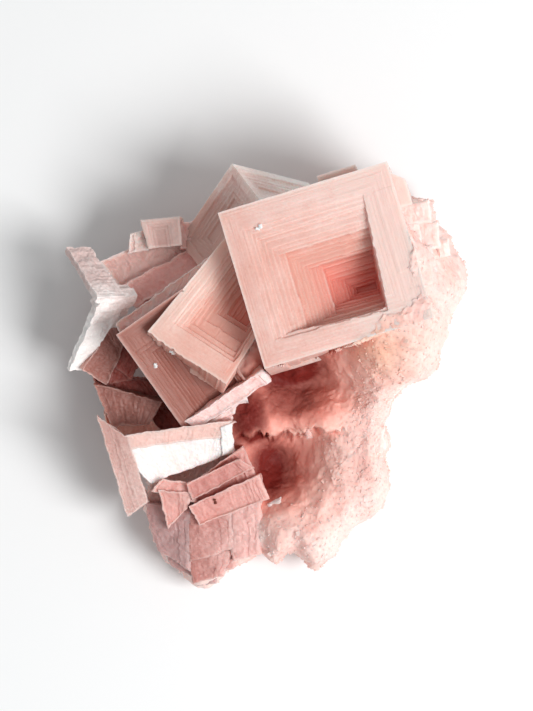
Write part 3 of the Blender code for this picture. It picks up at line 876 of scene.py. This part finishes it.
# The hills and hollows: middle, half widths, rise and the power that makes a bell flat-topped
RELIEF = [
    ((30.0, 17.0), (9.0, 12.0), 13.5, 2),
    ((24.0, 3.0), (8.5, 8.5), 8.4, 2),
    ((29.0, 8.0), (8.0, 8.0), 5.5, 2),
    ((8.0, -3.6), (10.5, 4.4), -6.0, 2),
    ((13.0, -7.6), (8.0, 2.8), 2.2, 2),
    ((3.6, -18.6), (7.4, 8.0), -12.2, 2),
    ((17.0, -28.0), (8.0, 8.0), -3.0, 2),
    ((-16.0, 2.0), (9.0, 14.0), -9.0, 2),
    ((-13.0, -33.0), (9.0, 8.0), -9.5, 2),
    ((-22.0, -14.0), (7.0, 9.0), -7.0, 2),
    ((-14.0, -20.0), (12.0, 9.0), -10.0, 2),
    ((-12.0, -35.0), (12.5, 9.0), -4.0, 6),
    ((6.0, 0.4), (7.5, 4.0), -3.0, 4),
]


def matrix_height(x, y):
    """Height of the crust: its general top, a bell for each hill or hollow, and a step at the ledge. It
    stays below the large crystal's pit, and laps over that crystal's lower right corner."""
    height = MATRIX_TOP + 0.0 * x
    for (cx, cy), (rx, ry), rise, power in RELIEF:
        height = height + rise * np.exp(-(((x - cx) / rx) ** power) - ((y - cy) / ry) ** power)
    ragged = 2.0 * (noise(x / 1.7, 4.0) - 0.5) + 1.0 * (noise(x / 0.6, 8.0) - 0.5)
    break_line = -12.1 + 0.11 * (x - 5.0) + ragged
    ledge = 1 / (1 + np.exp(-(y - break_line) / 0.14))
    near_ledge = np.exp(-(((x - 4.0) / 9.0) ** 4)) * np.exp(-(((y + 12.0) / 5.0) ** 2))
    height = height + 6.0 * (ledge - 0.5) * near_ledge
    p, q, face = on_large(x, y)
    inside = np.minimum(np.minimum(p, LARGE_SIZE[0] - p), np.minimum(q, LARGE_SIZE[1] - q))
    under = np.clip((inside - 0.6) / 1.2, 0, 1)
    height = height + under * (np.minimum(height, face - 17.8) - height)
    bank = face - 0.15 - 0.9 * np.clip(-inside, 0, None)
    near_corner = np.exp(-(((x - 27.5) / 8.0) ** 4) - ((y - 16.0) / 16.5) ** 4) * np.clip(1 - inside, 0, 1)
    height = np.maximum(height, height + near_corner * (bank - height))
    lap = lapped(p, q) * np.clip((inside + 0.8) / 0.8, 0, 1)
    return height + np.clip(lap * 6, 0, 1) * (face - 0.9 + 1.15 * lap - height)


def on_large(x, y):
    """Where a point lies on the large crystal's face: mm along, mm across, and the face's height."""
    rows = LARGE_AXES[:2, :2]
    local = np.stack([x - LARGE_FACE[0], y - LARGE_FACE[1]], axis=-1) @ np.linalg.inv(rows)
    height = LARGE_FACE[2] + local @ LARGE_AXES[:2, 2]
    return local[..., 0] + LARGE_SIZE[0] / 2, local[..., 1] + LARGE_SIZE[1] / 2, height


def lapped(p, q):
    """1 where the crust laps over the large crystal's lower right corner, 0 elsewhere, with a ragged
    border."""
    ragged = 1.6 * (noise(p / 1.9, q / 1.9, 3.0) - 0.5) + 0.9 * (noise(p / 0.7, q / 0.7, 5.0) - 0.5)
    low = np.interp(p, (16.5, 19.0, 21.0, 24.0, 28.0, 31.0, 35.0), (-1.0, 0.4, 1.2, 3.6, 3.6, 4.0, 4.4))
    right = np.interp(q, (0.0, 6.0, 12.0, 18.0, 24.0), (31.0, 32.2, 33.2, 34.4, 36.0))
    reach = np.maximum(low - q, p - right) + ragged
    return np.clip((reach + 0.6) / 1.9, 0, 1)


def outline_radius(angle):
    """Distance from the hub to the outline in a direction, in straight lines between its points that are
    rounded over three hundredths of a turn."""
    angle = (angle + math.pi) % (2 * math.pi) - math.pi
    spokes = OUTLINE - HUB
    angles = np.arctan2(spokes[:, 1], spokes[:, 0])
    order = np.argsort(angles)
    angles, radii = angles[order], np.hypot(spokes[:, 0], spokes[:, 1])[order]
    angles = np.concatenate([angles - 2 * math.pi, angles, angles + 2 * math.pi])
    near = [np.interp(angle + turn, angles, np.tile(radii, 3)) for turn in (-0.03, -0.015, 0.0, 0.015, 0.03)]
    return np.mean(near, axis=0)


def upper_side(turn, share):
    """Points of the crust's upper side at a share of the way out from the hub, where it rounds over."""
    reach = outline_radius(turn) * share
    x, y = HUB[0] + reach * np.cos(turn), HUB[1] + reach * np.sin(turn)
    drop = np.clip((share - SHOULDER) / (1 - SHOULDER), 0, 1)
    return np.stack([x, y, matrix_height(x, y) * (1 - 0.52 * (1 - np.sqrt(1 - 0.998 * drop**2)))], axis=-1)


def round_side(turn, down):
    """Points of the crust's side, at a share of the way down from its rim to its foot."""
    share = 1 + 0.03 * np.sin(math.pi * down) - (1 - FOOT) * down**1.6
    reach = outline_radius(turn) * share
    rim = upper_side(turn, 1.0 + 0.0 * turn)[..., 2]
    return np.stack([HUB[0] + reach * np.cos(turn), HUB[1] + reach * np.sin(turn), rim * (1 - down)], axis=-1)


def crusted(points):
    """Points moved by noise of 6, 2, 0.9 and 0.5 mm, less and less towards the foot."""
    x, y, z = np.moveaxis(points, -1, 0)
    moves = []
    for k in range(3):
        moves.append(
            1.2 * (noise(x / 6 + 40 * k, y / 6, z / 6) - 0.5)
            + 0.8 * (noise(x / 2.3, y / 2.3 + 50 * k, z / 2.3) - 0.5)
            + 0.32 * (noise(x / 1.1, y / 1.1, z / 1.1 + 60 * k) - 0.5)
            + 0.2 * (noise(x / 0.6, y / 0.6, z / 0.6 + 70 * k) - 0.5)
        )
    moves = np.stack(moves, axis=-1) * np.clip(z / 3, 0, 1)[..., None]
    return points + moves


def concentric(count):
    """Turns and shares of a square grid wrapped on a disc: the larger coordinate is the share, and the
    ratio of the two gives the turn."""
    a, b = np.meshgrid(np.linspace(-1, 1, count), np.linspace(-1, 1, count), indexing="ij")
    wide = np.abs(a) > np.abs(b)
    with np.errstate(divide="ignore", invalid="ignore"):
        turn = np.where(wide, math.pi / 4 * b / a, math.pi / 2 - math.pi / 4 * a / b)
        share = np.where(wide, a, b)
    turn = np.where(share == 0, 0.0, turn)
    return turn + np.where(share < 0, math.pi, 0.0), np.abs(share)


turn, share = concentric(279)
top = crusted(upper_side(turn, share))
rim_turn = np.concatenate([turn[:-1, 0], turn[-1, :-1], turn[:0:-1, -1], turn[0, ::-1]])
down = np.linspace(0, 1, 14)
side_turn, side_down = np.meshgrid(rim_turn, down, indexing="ij")
side = crusted(round_side(side_turn, side_down))[:, ::-1]
side[:, 0, 2] = 0.0
foot_rim = side[:, :1]
foot = np.concatenate([np.broadcast_to(np.array((*HUB, 0.0)), foot_rim.shape), foot_rim], axis=1)


def hollow(x, y):
    """0 on the open crust, half on the slopes of its hollows, and up to 1 in their depths. The finish paints
    these brown and deep red: the crust's own darker tint there, deepened by painted shade.
    """
    upper = 0.8 * np.exp(-(np.abs((x - 4.5) / 10.0) ** 2.6) - np.abs((y + 3.6) / 8.0) ** 3)
    under = np.exp(-(np.abs((x - 5.5) / 8.6) ** 3) - np.abs((y + 1.2 - 0.25 * x) / 4.6) ** 3)
    lower = np.exp(-(np.abs((x - 0.6) / np.where(x > 0.6, 7.0, 6.0)) ** 2) - np.abs((y + 19.5) / 7.6) ** 3)
    bridge = 0.9 * np.exp(-(((x + 3.5) / 5.0) ** 4) - ((y + 9.0) / 7.5) ** 4)
    return np.maximum.reduce([upper, under, lower, bridge])


def crust_marks(points):
    """sink is the hollow, band the warm hill on the right, run the slopes round the hollows, which the finish
    paints salmon as painted glow where they turn away from the lamp, and lip the height above the smoothed
    crust."""
    x, y, z = np.moveaxis(points, -1, 0)
    warm = np.exp(-(((x - 22.0) / 7.0) ** 2) - ((y - 4.5) / 5.5) ** 2)
    slopes = np.maximum(
        np.exp(-(((x - 7.0) / 9.5) ** 4) - ((y + 16.0) / 13.0) ** 4),
        np.exp(-(((x - 16.5) / 5.5) ** 4) - ((y + 2.5) / 6.0) ** 4),
    )
    return {"sink": hollow(x, y), "band": warm, "run": slopes, "lip": z - blurred(z, 8)}


def granular(name, pale, salmon, brown, deep):
    """Sugary halite: pale grains and salmon between them, the low spots of the crust a little more
    salmon as painted shade; a brighter salmon on the slopes round the hollows as painted glow; brown on
    the slopes of the hollows and deep red in their depths, the crust's own tint deepened by painted shade."""
    finish = Finish(name)
    sink, lip, warm, slopes = (finish.mark(mark) for mark in ("sink", "lip", "band", "run"))
    place = finish.place()
    cloud = finish.noise(place, 90.0, 3.0)
    grain = finish.noise(place, 1300.0, 4.0, 0.65)
    # On the crust, points below the smoothed surface turn a little more salmon and browner than raised ones:
    # painted shade in the dips. On the grains this mark is a fixed random tone.
    tone = (cloud - 0.5) * 1.8 + (grain - 0.5) * 0.9 + 0.45 - lip * 0.15
    colour = finish.mix(tone.clamped(), pale, salmon)
    colour = finish.mix((warm * 0.8 + (cloud - 0.5) * 0.4).clamped(), colour, rgb(244, 184, 156))
    sink = sink - lip * 0.1 + (grain - 0.5) * 0.15
    # A brighter salmon on the slopes round the hollows and at the edges of the hollows: painted glow, for
    # light coming through slopes that face away from the lamp.
    colour = finish.mix((slopes * 0.75 + sink * 2.0).clamped(), colour, rgb(255, 197, 183))
    # Brown on the slopes of the hollows and deep red in their depths: the crust's own darker tint, deepened
    # by painted shade.
    colour = finish.mix((sink * 2.3 - 0.25).clamped(), colour, brown)
    colour = finish.mix((sink * 2.5 - 1.25).clamped(), colour, deep)
    finish.feed(finish.principled.inputs["Base Color"], colour)
    finish.feed(finish.principled.inputs["Roughness"], (0.6 + (grain - 0.5) * 0.4).clamped())
    bump = finish.node("ShaderNodeBump", None, {"Strength": 0.35, "Distance": 0.0002, "Height": grain})
    finish.feed(finish.principled.inputs["Normal"], bump.outputs["Normal"])
    shader = finish.principled.inputs
    shader["Subsurface Weight"].default_value = 0.4
    shader["Subsurface Radius"].default_value = (1.0, 0.5, 0.42)
    shader["Subsurface Scale"].default_value = 0.003
    shader["Specular IOR Level"].default_value = 0.2
    return finish.material


# The brown and the deep red go into the hollows: partly painted shade.
CRUST = granular(
    "crust_halite", rgb(252, 220, 212), rgb(244, 190, 180), rgb(222, 146, 132), rgb(118, 37, 31)
)
crust = closed_mesh("crust", [(top, crust_marks(top)), (side, crust_marks(side)), (foot, crust_marks(foot))])
finished(crust, CRUST, "granular_matrix")

# The blocks. Larger halite cubes of the crust, grown together: the lower end, the step on the right and
# the cubes by the large crystal.

BLOCK_HALITE = halite(
    "block_halite", rgb(250, 220, 213), rgb(242, 198, 190), rgb(214, 150, 142), 1.2, 4.0
)
# More salmon towards the left: painted shade, as less light reaches the left of the lower blocks.
FOOT_HALITE = halite(
    "foot_halite", rgb(230, 182, 175), rgb(190, 132, 124), rgb(170, 98, 92),
    1.6, 4.0, 0.15, frost_and_highlight=0.1, drift=(-70, 0, -0.5),
)
# Greyer and darker, for the blocks at the far left: their own greyish tone, deepened by painted shade.
GREY_HALITE = halite(
    "grey_halite", rgb(198, 162, 159), rgb(180, 138, 135), rgb(150, 98, 94), 1.6, 4.0, 0.15, frost_and_highlight=0.1
)
for name, corners, height, lean, thickness, material in (
    ("block_left", ((143, 503), (156, 552), (190, 572), (192, 508)), 12.6, (20, -150), 8.0, GREY_HALITE),
    ("block_foot", ((160, 550), (172, 568), (198, 580), (200, 560)), 9.6, (20, -120), 6.0, GREY_HALITE),
    ("block_middle", ((184, 510), (189, 563), (236, 549), (232, 506)), 14.2, (10, -100), 9.0, FOOT_HALITE),
    ("block_low", ((188, 560), (193, 585), (224, 577), (235, 548)), 11.8, (16, -96), 7.0, FOOT_HALITE),
    ("block_toe", ((193, 574), (197, 587), (216, 584), (220, 572)), 8.6, (12, -96), 5.0, GREY_HALITE),
    ("block_right", ((228, 508), (232, 562), (262, 554), (262, 498)), 14.4, (8, -80), 9.0, FOOT_HALITE),
    ("block_edge", ((222, 556), (222, 574), (236, 568), (242, 550)), 11.4, (10, -80), 7.0, FOOT_HALITE),
    ("cluster_1", ((268, 504), (273, 514), (284, 506), (281, 497)), 14.2, (8, -40), 5.0, BLOCK_HALITE),
    ("ledge_crystal", ((303, 429), (308, 441), (314, 438), (311, 427)), 18.0, (16, -60), 5.0, FOOT_HALITE),
    ("step_right", ((360, 430), (362, 455), (386, 450), (385, 427)), 17.2, (12, -30), 8.0, BLOCK_HALITE),
    ("cube_top", ((396, 206), (402, 226), (433, 222), (429, 199)), 33.6, (4, 20), 10.0, BLOCK_HALITE),
    ("cube_side", ((398, 222), (406, 250), (424, 246), (418, 220)), 33.2, (6, 10), 10.0, BLOCK_HALITE),
    ("cube_mid", ((416, 221), (420, 250), (442, 248), (438, 221)), 31.6, (6, 10), 10.0, BLOCK_HALITE),
    ("cube_low", ((406, 246), (414, 280), (438, 272), (432, 244)), 32.2, (6, 0), 10.0, BLOCK_HALITE),
    ("cube_edge", ((436, 238), (439, 258), (452, 256), (449, 238)), 28.5, (8, 10), 8.0, BLOCK_HALITE),
):
    piece = slab(
        name, corners, height, lean, thickness, spacing=(0.3, 0.4), soft=0.9,
        relief=terraces((1.2, 2.8), (0.1, 0.25), ribbing=0.06, seed=97),
        side_relief=shallow_sides(85, 0.3), wear=0.4,
    )
    finished(piece, material, "granular_matrix")

# The grains. Small cubes of halite that cover the crust outside its hollows and blocks, each nearly
# half sunk in it.

GOLDEN = (math.sqrt(5) - 1) / 2
GRAINS_ABOVE, GRAINS_ROUND = 3000, 1500
GRAIN_SIZES = (0.3, 0.8)


def turned(angles):
    """Rotation matrices about x, then y, then z, from an array of three angles each."""
    (cx, cy, cz), (sx, sy, sz) = np.cos(angles).T, np.sin(angles).T
    rows = [
        [cy * cz, sx * sy * cz - cx * sz, cx * sy * cz + sx * sz],
        [cy * sz, sx * sy * sz + cx * cz, cx * sy * sz - sx * cz],
        [-sy, sx * cy, cx * cy],
    ]
    return np.moveaxis(np.array(rows), -1, 0)


def cubes(name, centres, sizes, angles):
    """Cubes as one mesh: the eight corners of a unit cube, scaled, turned and moved for each."""
    corners = np.array([(x, y, z) for z in (-0.5, 0.5) for y in (-0.5, 0.5) for x in (-0.5, 0.5)])
    points = centres[:, None] + (corners * sizes[:, None, :]) @ np.swapaxes(turned(angles), 1, 2)
    sides = np.array([(0, 2, 3, 1), (4, 5, 7, 6), (0, 1, 5, 4), (1, 3, 7, 5), (3, 2, 6, 7), (2, 0, 4, 6)])
    faces = (8 * np.arange(len(centres))[:, None, None] + sides).reshape(-1, 4)
    mesh = bpy.data.meshes.new(name)
    mesh.from_pydata(((points.reshape(-1, 3) - SPECIMEN_MIDDLE) * MM).tolist(), [], faces.tolist())
    own = hashed(np.arange(len(centres)), 3.0, 5.0)
    marks = crust_marks(centres[:, None])
    marks["lip"] = (0.5 * own - 0.2)[:, None]
    for mark in MARKS:
        values = marks[mark][:, 0]
        each = np.repeat(values, 8).astype(np.float32)
        mesh.attributes.new(mark, "FLOAT", "POINT").data.foreach_set("value", each)
    obj = bpy.data.objects.new(name, mesh)
    bpy.context.scene.collection.objects.link(obj)
    return obj


count = np.arange(GRAINS_ABOVE)
above = crusted(upper_side(2 * math.pi * count * GOLDEN, 0.985 * np.sqrt((count + 0.5) / GRAINS_ABOVE)))
count = np.arange(GRAINS_ROUND)
around = crusted(round_side(2 * math.pi * count * GOLDEN, 0.04 + 0.88 * ((count + 0.5) / GRAINS_ROUND)))
centres = np.concatenate([above, around])
on_blocks = (centres[:, 0] < -2.0) & (centres[:, 1] < -25.0) & (centres[:, 2] > 5.0)
centres = centres[~on_blocks & (hollow(centres[:, 0], centres[:, 1]) < 0.12)]
count = np.arange(len(centres))
width = GRAIN_SIZES[0] + (GRAIN_SIZES[1] - GRAIN_SIZES[0]) * hashed(count, 1.0, 7.0) ** 4
sizes = width[:, None] * (0.8 + 0.4 * np.stack([hashed(count, 2.0, k) for k in range(3)], axis=-1))
swirl = np.stack([noise(centres[:, 0] / 5, centres[:, 1] / 5, 9.0 * k) for k in range(3)], axis=-1)
angles = 4.0 * swirl + 1.2 * np.stack([hashed(count, 4.0, k) for k in range(3)], axis=-1)
centres[:, 2] = np.maximum(centres[:, 2] - 0.42 * width, 1.2 * width)
grains = cubes("grains", centres, sizes, angles)
finished(grains, CRUST, "granular_matrix")

# The chips. Small white flakes of halite on the rims of three hoppers, and two brown specks of clay on a
# rod and in the crust. Each lies on the face under it.


def resting(piece, column, row):
    """The highest point of a piece under a pixel of the photo, in mm, found with a ray from above."""
    x, y, _ = seen(column, row, 28.0) - SPECIMEN_MIDDLE
    _, place, _, _ = piece.ray_cast(Vector((x * MM, y * MM, 0.2)), Vector((0.0, 0.0, -1.0)))
    return np.array(place) / MM + SPECIMEN_MIDDLE


FLAKE = granular(
    "flake_halite", rgb(255, 253, 251), rgb(254, 246, 242), rgb(240, 210, 200), rgb(200, 150, 140)
)
CLAY = granular("brown_clay", rgb(110, 58, 46), rgb(84, 40, 30), rgb(84, 40, 30), rgb(70, 30, 22))
bpy.context.view_layer.update()
for name, below, places, size, material, node in (
    ("flake_large", large, ((258, 229), (261, 227)), (1.1, 0.9, 0.5), FLAKE, "large_hopper_crystal"),
    ("flake_middle", middle, ((171, 351), (173.5, 352.5)), (1.0, 0.7, 0.5), FLAKE, "left_hopper_crystals"),
    ("flake_left", left, ((155, 364), (155.5, 366.5)), (0.8, 0.6, 0.4), FLAKE, "left_hopper_crystals"),
    ("clay_rod", bpy.data.objects["rod"], ((214, 501), (215, 504)), (0.6, 0.6, 0.4), CLAY, "lower_crystals"),
    ("clay_crust", crust, ((292, 506),), (0.6, 0.5, 0.4), CLAY, "granular_matrix"),
):
    middles = np.array([resting(below, *place) for place in places])
    count = np.arange(len(middles))
    turns = 1.4 * np.stack([hashed(count, 6.0, k) for k in range(3)], axis=-1)
    chip = cubes(name, middles, np.array(size) * (0.8 + 0.3 * hashed(count, 7.0, 1.0))[:, None], turns)
    finished(chip, material, node)

# The floor. A pale matt surface that takes the soft shadow.

floor_mesh = bpy.data.meshes.new("floor")
reach = 1.5
floor_corners = [(-reach, -reach, 0), (reach, -reach, 0), (reach, reach, 0), (-reach, reach, 0)]
floor_mesh.from_pydata(floor_corners, [], [(0, 1, 2, 3)])
floor = bpy.data.objects.new("floor", floor_mesh)
bpy.context.scene.collection.objects.link(floor)
floor_finish = Finish("floor_paper")
floor_finish.principled.inputs["Base Color"].default_value = (0.88, 0.88, 0.88, 1.0)
floor_finish.principled.inputs["Roughness"].default_value = 0.9
floor_finish.principled.inputs["Specular IOR Level"].default_value = 0.1
floor_mesh.materials.append(floor_finish.material)

# The light. One large soft lamp from the right, and an even pale surround.

world = bpy.data.worlds.new("surround")
world.use_nodes = True
world.node_tree.nodes["Background"].inputs["Color"].default_value = (0.97, 1.0, 1.01, 1.0)
world.node_tree.nodes["Background"].inputs["Strength"].default_value = 0.415
bpy.context.scene.world = world


def lamp(name, heading, elevation, distance, size, power):
    """A square area lamp that looks at the specimen from a compass heading and elevation."""
    data = bpy.data.lights.new(name, "AREA")
    data.shape, data.size, data.energy = "SQUARE", size, power
    obj = bpy.data.objects.new(name, data)
    h, e = math.radians(heading), math.radians(elevation)
    toward = Vector((math.cos(e) * math.cos(h), math.cos(e) * math.sin(h), math.sin(e)))
    obj.location = toward * distance + Vector((0, 0, 0.02))
    obj.rotation_euler = toward.to_track_quat("Z", "Y").to_euler()
    bpy.context.scene.collection.objects.link(obj)


lamp("key", -22.0, 52.0, 0.9, 0.42, 8.0)

# The camera. It looks straight down, as in the photo, from 1.2 m.

PHOTO_HEIGHT = 142.2  # what the picture covers from top to bottom at the specimen's mid height
CAMERA_DISTANCE = 1.2
camera_data = bpy.data.cameras.new("camera")
camera_data.sensor_fit = "VERTICAL"
camera_data.sensor_height = 24.0
camera_data.lens = 24.0 * CAMERA_DISTANCE / (PHOTO_HEIGHT * MM)
camera_data.clip_end = 10.0
camera = bpy.data.objects.new("camera", camera_data)
aim = (np.array((0.1, 3.5, 24.0)) - SPECIMEN_MIDDLE) * MM
camera.location = (aim[0], aim[1], aim[2] + CAMERA_DISTANCE)
bpy.context.scene.collection.objects.link(camera)
bpy.context.scene.camera = camera
bpy.context.scene.view_settings.view_transform = "Standard"
